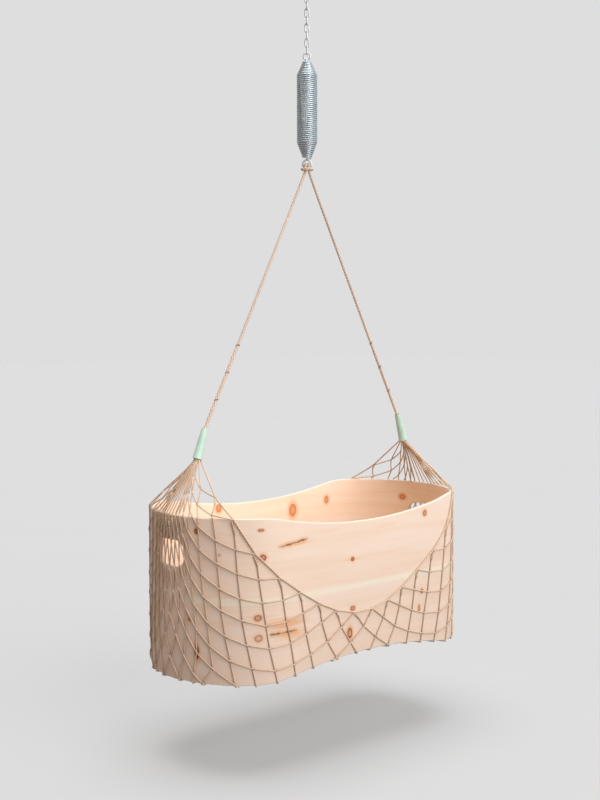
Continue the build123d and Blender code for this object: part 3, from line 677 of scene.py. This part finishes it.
def frames(points, closed=False):
    """The way along at each point and two steady directions across it"""
    count = len(points)
    ways = []
    for i in range(count):
        before = points[i - 1] if closed or i else points[0]
        after = points[(i + 1) % count] if closed or i < count - 1 else points[-1]
        ways.append((after - before).normalized())
    side = ways[0].orthogonal().normalized()
    out = []
    for i, way in enumerate(ways):
        if i:
            side = ways[i - 1].rotation_difference(way) @ side
        side = (side - way * side.dot(way)).normalized()
        out.append((way, side, way.cross(side)))
    return out


def tube(bm, points, radius, sides=6, closed=False):
    """A round tube along points; radius is one number or one for each point"""
    uv = bm.loops.layers.uv["lay"]
    radii = radius if isinstance(radius, (list, tuple)) else [radius] * len(points)
    lengths = runs(points)
    if closed:
        lengths.append(lengths[-1] + (points[0] - points[-1]).length)
    rings = [[bm.verts.new(spot) for spot in circle(point, side, up, r, sides)]
             for point, (_, side, up), r in zip(points, frames(points, closed), radii)]
    for k, (start, end) in enumerate(zip(lengths, lengths[1:])):
        a, b = rings[k], rings[(k + 1) % len(rings)]
        for i in range(sides):
            j = (i + 1) % sides
            face = bm.faces.new((a[i], a[j], b[j], b[i]))
            face.smooth = True
            spots = ((start, i), (start, i + 1), (end, i + 1), (end, i))
            for loop, (run, step) in zip(face.loops, spots):
                loop[uv].uv = (run, step / sides)
    if not closed:
        for ring in (rings[0][::-1], rings[-1]):
            bm.faces.new(ring).smooth = True


def bead(bm, centre, way, out, size):
    """A small rounded knot on a cord"""
    uv = bm.loops.layers.uv["lay"]
    side = out.cross(way).normalized()
    turn = Matrix((way, side, out)).transposed().to_4x4()
    scale = Matrix.Diagonal((size * KNOT_LONG, size, size * KNOT_FLAT, 1.0))
    made = bmesh.ops.create_icosphere(
        bm, subdivisions=1, radius=1.0, matrix=Matrix.Translation(centre) @ turn @ scale)
    for face in {f for v in made["verts"] for f in v.link_faces}:
        face.smooth = True
        for loop in face.loops:
            off = loop.vert.co - centre
            loop[uv].uv = (off.dot(way) + off.dot(side) * 0.6, off.dot(out) * 60.0)


def curve_points(control, steps):
    """Points along a smooth curve with these control points, read from a curve with no bevel"""
    curve = bpy.data.curves.new("line", "CURVE")
    curve.dimensions = "3D"
    spline = curve.splines.new("NURBS")
    spline.points.add(len(control) - 1)
    for point, place in zip(spline.points, control):
        point.co = (*place, 1.0)
    spline.order_u = 3
    spline.use_endpoint_u = True
    curve.resolution_u = steps
    holder = bpy.data.objects.new("line", curve)
    bpy.context.scene.collection.objects.link(holder)
    mesh = bpy.data.meshes.new_from_object(holder)
    points = [v.co.copy() for v in mesh.vertices]
    bpy.data.objects.remove(holder)
    bpy.data.meshes.remove(mesh)
    bpy.data.curves.remove(curve)
    return points


def evenly(points):
    """The same line with its points a steady step apart"""
    lengths = runs(points)
    count = round(lengths[-1] / LINE_STEP)
    out = []
    k = 0
    for i in range(count + 1):
        target = lengths[-1] * i / count
        while k < len(points) - 2 and lengths[k + 1] < target:
            k += 1
        span = lengths[k + 1] - lengths[k]
        share = (target - lengths[k]) / span if span else 0.0
        out.append(points[k].lerp(points[k + 1], share))
    return out


def laid_rope(bm, points, diameter, lay_length, swell=None):
    """Three strands laid round each other along a line"""
    strand = diameter * STRAND_SHARE
    paths = [[], [], []]
    radii = []
    for i, (point, run, (_, side, up)) in enumerate(zip(points, runs(points), frames(points))):
        grow = swell(i / (len(points) - 1)) if swell else 1.0
        radii.append(strand * grow)
        reach = (diameter / 2 - strand) * grow
        for n, path in enumerate(paths):
            turn = 2 * math.pi * (run / lay_length + n / 3)
            path.append(point + (side * math.cos(turn) + up * math.sin(turn)) * reach)
    for path in paths:
        tube(bm, path, radii, 7)


# The net, first as cords in the flat of the wall. Its quarters are near left, far left, far right
# and near right, and these are their directions along X and Y.
SIDES = (-1, -1, 1, 1)
SIGNS = (-1, 1, 1, -1)
KNOTS = {(first - i, sweeping): (run / 1000, height / 1000)
         for sweeping, first, places in KNOT_ROWS for i, (run, height) in enumerate(places)}


def placed(quarter, run):
    """Where a run of the near left quarter lies in another quarter of the wall"""
    if quarter in (2, 3):
        over = run - NET_MIDDLE
        whole = QUARTER - NET_MIDDLE
        tail = (QUARTER + NET_MIDDLE - RIGHT_STEP * whole) / (whole - RIGHT_CATCH_UP) ** 2
        run = RIGHT_STEP * over + tail * max(0.0, over - RIGHT_CATCH_UP) ** 2 - NET_MIDDLE
        return -run if quarter == 3 else 2 * QUARTER + run
    return run if quarter == 0 else 2 * QUARTER - run


def net_point(quarter, run, height, out):
    """A place on the net: on the wall up to the rim, and above it on the way to the sleeve"""
    place = placed(quarter, run)
    if height <= HEIGHT:
        return on_wall(place, height, out)
    rim = on_wall(place, HEIGHT, out)
    share = (height - HEIGHT) / FAN_RUN
    mouth = sleeve_point(SIDES[quarter], 0.0, rim.y * FAN_SPREAD, FAN_BACK)
    return rim.lerp(mouth, share)


def stretch(quarter, a, b, out, step=CORD_STEP):
    """Points along one piece of cord from knot to knot, kept on the wall"""
    count = max(2, math.ceil(math.dist(a, b) / step))
    cuts = [i / count for i in range(count + 1)]
    if (a[1] - HEIGHT) * (b[1] - HEIGHT) < 0:
        cuts.append((HEIGHT - a[1]) / (b[1] - a[1]))
    return [net_point(quarter, a[0] + (b[0] - a[0]) * t, a[1] + (b[1] - a[1]) * t, out)
            for t in sorted(cuts)]


def to_foot(quarter, a, b, out):
    """The end of a cord, from its last knot b on past the shell's foot and under it"""
    size = math.dist(a, b)
    step, rise = ((end - start) / size * FOOT_STEP for start, end in zip(a, b))
    place, height = b
    points = [net_point(quarter, place, height, out)]
    foot = foot_height(placed(quarter, place))
    while height > foot and len(points) < 40:
        place += step
        height += rise
        foot = foot_height(placed(quarter, place))
        points.append(net_point(quarter, place, max(height, foot), out))
    x, y, nx, ny = plan_point(placed(quarter, place))
    low = FOOT + foot - EDGE_DROP
    points.append(Vector((x + nx * EDGE_OUT, y + ny * EDGE_OUT, low)))
    return points, Vector((x - nx * EDGE_IN, y - ny * EDGE_IN, low))


def region(point):
    if abs(point.x) < SHOULDER_X:
        return "near" if point.y < 0 else "far"
    return "left" if point.x < 0 else "right"


class Net:
    """All the net's cords, gathered by the part of the net they belong to"""

    def __init__(self, cord):
        self.cord = cord
        names = ("near", "far", "left", "right", "left_fan", "right_fan", "under")
        self.meshes = {name: new_bmesh() for name in names}
        self.feet = {(sign, lean): [] for sign in (-1, 1) for lean in (-1, 1)}

    def lay(self, points, name=None):
        name = name or region(points[len(points) // 2])
        tube(self.meshes[name], points, self.cord / 2)

    def knot(self, quarter, place, size):
        lift = self.cord * KNOT_LIFT
        here = net_point(quarter, *place, lift)
        above = net_point(quarter, place[0], place[1] + 0.004, lift)
        out = Vector((*plan_point(placed(quarter, place[0]))[2:], 0.0))
        way = (above - here).normalized()
        out = (out - way * out.dot(way)).normalized()
        name = region(here)
        if place[1] > HEIGHT:
            name = "left_fan" if here.x < 0 else "right_fan"
        bead(self.meshes[name], here, way, out, size)

    def end_at_foot(self, drift, quarter, before, last, out):
        """A cord's end from its last knot to the foot, where the net under the shell begins"""
        points, inner = to_foot(quarter, before, last, out)
        self.lay(points)
        side, sign = SIDES[quarter], SIGNS[quarter]
        self.feet[(sign, drift * side * sign)].append((points[-1], inner))

    def to_sleeve(self, quarter, place, order, out):
        """A cord from its last knot over the rim and into the sleeve"""
        angle = math.pi / 2 * order
        points = [net_point(quarter, *place, out)]
        if place[1] < HEIGHT:
            points.append(net_point(quarter, place[0], (place[1] + HEIGHT) / 2, out))
            points.append(net_point(quarter, place[0], HEIGHT, out))
        points += into_sleeve(quarter, points[-1], CORD_ENDS, math.sin(angle), -math.cos(angle))
        self.lay(points, "left_fan" if SIDES[quarter] < 0 else "right_fan")


def into_sleeve(quarter, start, ends, aside=1.0, backed=1.0):
    """Points from the rim to the sleeve's mouth and inside it"""
    mouth, inside = (
        sleeve_point(SIDES[quarter], up, SIGNS[quarter] * across * aside, back * backed)
        for up, across, back in ends)
    return [start.lerp(mouth, i / FAN_STEPS) for i in range(1, FAN_STEPS + 1)] + [inside]


def build_net(settings):
    net = Net(settings.net_cord)
    over, under = net.cord * OVER_LIFT, net.cord * UNDER_LIFT
    middle = QUARTER - 0.001
    for quarter in range(4):
        for (steep, sweeping), place in KNOTS.items():
            hem = steep + sweeping == 9
            if place[1] > LOWEST_KNOT:
                net.knot(quarter, place, net.cord * (HEM_KNOT if hem else KNOT))
            below = KNOTS.get((steep, sweeping - 1))
            if below:
                net.lay(stretch(quarter, place, below, under))
                if hem:
                    drop = (below[1] - place[1]) * TAIL_LEAVES
                    loop = (place[0] + TAIL_ASIDE, place[1] + drop)
                    meet = [p + (b - p) * TAIL_MEETS for p, b in zip(place, below)]
                    net.lay(stretch(quarter, loop, meet, over))
            after = KNOTS.get((steep - 1, sweeping))
            if after:
                net.lay(stretch(quarter, place, after, over))
        ends = []
        for steep in range(-5, 10):
            levels = sorted(s for j, s in KNOTS if j == steep)
            low = KNOTS[(steep, levels[0])]
            if steep + levels[-1] < 9:
                ends.append(KNOTS[(steep, levels[-1])])
            if NET_MIDDLE + 0.001 < low[0] < middle:
                before = KNOTS.get((steep, levels[0] + 1), (low[0] + 0.001, low[1] + 0.04))
                net.end_at_foot(1, quarter, before, low, under)
        for sweeping, first, places in KNOT_ROWS:
            row = [KNOTS[(first - i, sweeping)] for i in range(len(places))]
            last = row[-1]
            if last[1] > HEIGHT - 0.03 and last[0] < QUARTER + 0.001:
                ends.append(last)
            if (sweeping, first) == (-1, 9):
                net.end_at_foot(-1, quarter, row[1], last, over)
            if sweeping < 0 and first < 9:
                net.end_at_foot(-1, quarter, row[1], row[0], over)
        ends = sorted(set(ends))
        for i, place in enumerate(ends):
            net.to_sleeve(quarter, place, 1 - i / (len(ends) - 1), over)
    return net


def arched(point):
    """Moves a point to the height of the net under the shell"""
    x = max(-FOOT_CHORD / 2, min(FOOT_CHORD / 2, point.x))
    point.z = FOOT + arch(x) - UNDER_DROP
    return point


def under_pairs(net, lean):
    """The feet on the near and the far side that one set of cords under the shell joins"""
    near, far = (sorted(net.feet[(sign, lean)], key=lambda foot: foot[0].x) for sign in (-1, 1))
    count = min(len(near), len(far))
    if lean > 0:
        return zip(near[:count], far[-count:])
    return zip(near[-count:], far[:count])


def build_under_net(net):
    """Cords under the shell, from the near side's feet to the far side's, leaning both ways"""
    lines = {1: [], -1: []}
    for lean, laid in lines.items():
        for (a, a_in), (b, b_in) in under_pairs(net, lean):
            steps = max(3, math.ceil((b_in - a_in).length / UNDER_STEP))
            middle = [arched(a_in.lerp(b_in, i / steps)) for i in range(steps + 1)]
            net.lay([a] + middle + [b], "under")
            laid.append((a_in, b_in))
    for a, b in lines[1]:
        for c, d in lines[-1]:
            r, s, q = (b - a).xy, (d - c).xy, (c - a).xy
            cross = r.cross(s)
            if abs(cross) < 1e-9:
                continue
            t, v = q.cross(s) / cross, q.cross(r) / cross
            if 0.02 < t < 0.98 and 0.02 < v < 0.98:
                way = (b - a).normalized()
                bead(net.meshes["under"], arched(a.lerp(b, t)), way, -UP, net.cord * KNOT)


def hem_points(near, settings):
    """The hem from sleeve to sleeve, knot by knot"""
    hem = sorted(place for (j, k), place in KNOTS.items() if j + k == 9)
    out = settings.net_cord * HEM_LIFT
    line = []
    for quarter in (3, 0) if near else (2, 1):
        points = []
        for a, b in zip(hem, hem[1:]):
            points += stretch(quarter, a, b, out, HEM_STEP)[:-1]
        points.append(net_point(quarter, *hem[-1], out))
        points += into_sleeve(quarter, points[-1], HEM_ENDS)
        line = line + points if SIDES[quarter] < 0 else points[::-1]
    return line


# Steel

def chain(along, across):
    for index in range(LINK_COUNT):
        middle = UP * (FIRST_LINK - index * LINK_DROP)
        flat = along if index % 2 == 0 else across
        points = []
        for start, leg in ((0.0, LINK_LEG), (math.pi, -LINK_LEG)):
            for i in range(9):
                turn = start + math.pi * i / 8
                rise = leg + LINK_BEND * math.sin(turn)
                points.append(middle + flat * LINK_BEND * math.cos(turn) + UP * rise)
        bm = new_bmesh()
        tube(bm, points, LINK_WIRE, 10, closed=True)
        weld = middle + flat * LINK_BEND
        tube(bm, [weld + UP * rise for rise, _ in WELD], [radius for _, radius in WELD], 10)
        link = f"link_{index + 1}"
        dress(link + "_smooth", bm, link, "chain_" + link, "zinc", "hardware")


def eye(name, body, loop, wire, shank, head, sides):
    """A wire loop with a shank that ends in a round head"""
    bm = new_bmesh()
    tube(bm, loop, wire, 12, closed=True)
    tube(bm, [UP * z for z in shank], wire, 12)
    tube(bm, [UP * z for z, _ in head], [radius for _, radius in head], sides)
    dress(name + "_smooth", bm, body, name, "zinc", "hardware")


def stirrup_loop(along):
    """The lower eye's loop, with a straight bar for the rope and rounded corners"""
    shoulder = BAR_HEIGHT + BAR_RISE
    control = [Vector(p) for p in (
        (0.0, BAR_HEIGHT), (BAR_REACH, BAR_HEIGHT), (BAR_REACH, shoulder), (0.0, STIRRUP_TOP),
        (-BAR_REACH, shoulder), (-BAR_REACH, BAR_HEIGHT), (0.0, BAR_HEIGHT))]
    points = []
    for before, here, after in zip(control, control[1:], control[2:]):
        a = here + (before - here).normalized() * STIRRUP_CORNER
        b = here + (after - here).normalized() * STIRRUP_CORNER
        for k in range(6):
            t = k / 5
            flat = a * (1 - t) ** 2 + here * 2 * t * (1 - t) + b * t ** 2
            points.append(along * flat.x + UP * flat.y)
    return points


def coil_points(wire):
    """The line of the spring's wire: a cone, an even coil and a cone, down from the top"""
    coil, tip = (SPRING_DIAMETER - wire) / 2, (SPRING_TIP - wire) / 2
    top_rise, foot_rise = TOP_CONE - wire / 2, FOOT_CONE - wire / 2
    top_turns = math.hypot(top_rise, coil - tip) / SPRING_PITCH
    foot_turns = math.hypot(foot_rise, coil - tip) / SPRING_PITCH
    body_turns = (CONE_TOP - CONE_FOOT) / SPRING_PITCH
    turns = math.floor(2 * (top_turns + body_turns + foot_turns)) / 2
    points = []
    for i in range(round(turns * COIL_STEPS) + 1):
        t = i / COIL_STEPS
        if t < top_turns:
            share = t / top_turns
            radius = tip + (coil - tip) * share
            z = CONE_TOP + top_rise * (1 - share)
        elif t < top_turns + body_turns:
            radius = coil
            z = CONE_TOP - SPRING_PITCH * (t - top_turns)
        else:
            share = (t - top_turns - body_turns) / foot_turns
            radius = coil + (tip - coil) * share
            z = CONE_FOOT - foot_rise * share
        turn = 2 * math.pi * t
        points.append(Vector((radius * math.cos(turn), radius * math.sin(turn), z)))
    return points


# Operators

class CRADLE_OT_stage(bpy.types.Operator):
    """Camera, light, background and floor"""
    bl_idname = "cradle.stage"
    bl_label = "Stage"

    def execute(self, context):
        scene = context.scene
        data = bpy.data.cameras.new("camera")
        data.lens = CAMERA_LENS
        data.sensor_width = CAMERA_SENSOR
        camera = bpy.data.objects.new("camera", data)
        scene.collection.objects.link(camera)
        cos, sin = math.cos(CAMERA_TURN), math.sin(CAMERA_TURN)
        place = Vector((-CAMERA_ASIDE * cos - CAMERA_OFF * sin,
                        CAMERA_ASIDE * sin - CAMERA_OFF * cos, FOOT + CAMERA_RISE))
        aim = (Matrix.Rotation(-CAMERA_TURN, 4, "Z")
               @ Matrix.Rotation(math.pi / 2 - CAMERA_PITCH, 4, "X")
               @ Matrix.Rotation(CAMERA_ROLL, 4, "Z"))
        camera.matrix_world = Matrix.Translation(place) @ aim
        scene.camera = camera
        scene.view_settings.view_transform = "Standard"

        bm = new_bmesh()
        bmesh.ops.create_grid(bm, x_segments=2, y_segments=2, size=FLOOR_REACH,
                              matrix=Matrix.Translation((0, 0, FOOT - FLOOR_DROP)))
        new_object("floor", bm, "floor_pale")
        scene.world = world_light()
        for name, energy, wide, way in LAMPS:
            sun = bpy.data.lights.new(name, "SUN")
            sun.energy = energy
            sun.angle = wide
            lamp = bpy.data.objects.new(name, sun)
            lamp.matrix_world = Vector(way).to_track_quat("Z", "Y").to_matrix().to_4x4()
            scene.collection.objects.link(lamp)
        return {"FINISHED"}


class CRADLE_OT_rope(bpy.types.Operator):
    """The laid rope, hitched over the stirrup, and its spliced ends"""
    bl_idname = "cradle.rope"
    bl_label = "Rope"

    def execute(self, context):
        settings = context.scene.cradle_settings
        line = evenly(curve_points(ROPE_ROUTE, 24))
        bm = new_bmesh()
        laid_rope(bm, line, settings.rope, ROPE_LAY)
        rope = dress("rope", bm, "cradle", "suspension_rope", "rope", "rope")
        self.splice("left_splice", -1, line[0], settings.splice)
        self.splice("right_splice", 1, line[-1], settings.splice)
        return {"FINISHED"}

    def splice(self, name, side, start, diameter):
        low = sleeve_point(side, SLEEVE_LENGTH, 0.0, 0.001)
        path = evenly([start, low, sleeve_point(side, SPLICE_INSIDE)])
        bm = new_bmesh()
        laid_rope(bm, path, diameter, SPLICE_LAY,
                  lambda t: 0.9 + 0.1 * min(1.0, t * 8) + 0.02 * math.sin(60 * t))
        dress(name + "_laid", bm, "cradle", name, "rope", "rope")
        way = (low - start).normalized()
        across = way.orthogonal().normalized()
        other = way.cross(across)
        bm = new_bmesh()
        for share in STITCHES:
            ring = circle(start.lerp(low, share), across, other, diameter * STITCH_REACH, 14)
            for i, point in enumerate(ring):
                point += way * STITCH_LEAN * math.sin(2 * math.pi * i / 14)
            tube(bm, ring, STITCH_WIRE, 5, closed=True)
        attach(new_object(name + "_stitch", bm, "stitch"), "cradle")


class CRADLE_OT_net(bpy.types.Operator):
    """The knotted net over the walls, over the rim and under the shell, with its hem cords"""
    bl_idname = "cradle.net"
    bl_label = "Net"

    def execute(self, context):
        settings = context.scene.cradle_settings
        net = build_net(settings)
        build_under_net(net)
        for name, bm in net.meshes.items():
            fan = name.endswith("fan")
            dress(name + ("_strands" if fan else "_netting"), bm, "cradle",
                  name if fan else name + "_net", "net_cord", "net")
        for near, name in ((True, "near_hem"), (False, "far_hem")):
            bm = new_bmesh()
            tube(bm, hem_points(near, settings), settings.hem_cord / 2, 7)
            dress(name + "_cord", bm, "cradle", name, "net_cord", "hem")
        return {"FINISHED"}


class CRADLE_OT_wood(bpy.types.Operator):
    """The bent pine shell with rounded edges, and the boards inside it"""
    bl_idname = "cradle.wood"
    bl_label = "Wood"

    def execute(self, context):
        bm = bmesh.new()
        bm.from_mesh(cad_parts["wood_shell"].data)
        bmesh.ops.remove_doubles(bm, verts=bm.verts, dist=1e-5)
        bmesh.ops.dissolve_degenerate(bm, edges=bm.edges, dist=1e-6)
        sharp = [e for e in bm.edges
                 if len(e.link_faces) == 2 and e.calc_face_angle() > SHARP_EDGE]
        bmesh.ops.bevel(
            bm, geom=sharp, offset=context.scene.cradle_settings.edge_round, profile=0.5,
            offset_type="OFFSET", segments=3, affect="EDGES", clamp_overlap=True, material=-1)
        self.unroll(bm)
        dress("shell_pine", bm, "cradle", "wood_shell", "pine",
              "pine_outer", "pine_inner_lit", "pine_rim")
        for name in ("floor_board", "near_batten", "far_batten", "left_cleat", "right_cleat"):
            paint(name)
        return {"FINISHED"}

    def unroll(self, bm):
        """Lays the wall out flat as its UV, and picks each face's look"""
        uv = bm.loops.layers.uv.new("lay")
        bm.normal_update()
        for face in bm.faces:
            face.smooth = True
            centre = face.calc_center_median()
            middle = plan_run(centre.x, centre.y)
            x, y, nx, ny = plan_point(middle)
            depth = (Vector((x, y)) - centre.xy).dot(Vector((nx, ny)))
            flat = abs(face.normal.z) > 0.5 or WALL_SKIN < depth < WALL - WALL_SKIN
            face.material_index = 2 if flat else int(depth > WALL / 2)
            for loop in face.loops:
                run = plan_run(loop.vert.co.x, loop.vert.co.y)
                if run - middle > QUARTER:
                    run -= 4 * QUARTER
                elif middle - run > QUARTER:
                    run += 4 * QUARTER
                loop[uv].uv = (run, loop.vert.co.z - FOOT)


class CRADLE_OT_steel(bpy.types.Operator):
    """The ceiling plate and its eye, the chain, the spring and its two eyes"""
    bl_idname = "cradle.steel"
    bl_label = "Steel"

    def execute(self, context):
        along = Vector((math.cos(BAR_TURN), math.sin(BAR_TURN), 0))
        across = UP.cross(along)
        chain(along, across)
        eye("ceiling_eye", "ceiling", circle(UP * CEILING_RING[0], across, UP, CEILING_RING[1], 32),
            CEILING_EYE_WIRE, CEILING_SHANK, CEILING_COLLAR, 16)
        eye("top_eye", "hook_eye", circle(UP * TOP_RING[0], along, UP, TOP_RING[1], 28),
            EYE_WIRE, TOP_SHANK, TOP_HEAD, 20)
        eye("bottom_eye", "foot_eye", stirrup_loop(along), EYE_WIRE, FOOT_SHANK, FOOT_HEAD, 20)
        wire = context.scene.cradle_settings.spring_wire
        bm = new_bmesh()
        tube(bm, coil_points(wire), wire / 2, 12)
        piece = new_object("spring_smooth", bm, "spring")
        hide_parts("spring_coil")
        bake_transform(piece)
        paint("ceiling_plate")
        return {"FINISHED"}


class CRADLE_OT_sleeves(bpy.types.Operator):
    """The mint sleeves over the rope's ends"""
    bl_idname = "cradle.sleeves"
    bl_label = "Sleeves"

    def execute(self, context):
        for name in ("left_sleeve", "right_sleeve"):
            paint(name)
        return {"FINISHED"}


class CRADLE_PT_panel(bpy.types.Panel):
    """Sizes and steps of the cradle's looks"""
    bl_label = "Spring cradle"
    bl_space_type = "VIEW_3D"
    bl_region_type = "UI"
    bl_category = "Cradle"

    def draw(self, context):
        settings = context.scene.cradle_settings
        for name in ("net_cord", "hem_cord", "rope", "splice", "spring_wire", "edge_round"):
            self.layout.prop(settings, name)
        for operator in OPERATORS:
            self.layout.operator(operator.bl_idname)


OPERATORS = (CRADLE_OT_stage, CRADLE_OT_rope, CRADLE_OT_net, CRADLE_OT_wood, CRADLE_OT_steel,
             CRADLE_OT_sleeves)
CLASSES = (CradleSettings,) + OPERATORS + (CRADLE_PT_panel,)


def register():
    for one in CLASSES:
        bpy.utils.register_class(one)
    bpy.types.Scene.cradle_settings = PointerProperty(type=CradleSettings)


def unregister():
    del bpy.types.Scene.cradle_settings
    for one in reversed(CLASSES):
        bpy.utils.unregister_class(one)


def main():
    register()
    bpy.ops.cradle.stage()
    bpy.ops.cradle.rope()
    bpy.ops.cradle.net()
    bpy.ops.cradle.wood()
    bpy.ops.cradle.steel()
    bpy.ops.cradle.sleeves()


if __name__ == "__main__":
    main()
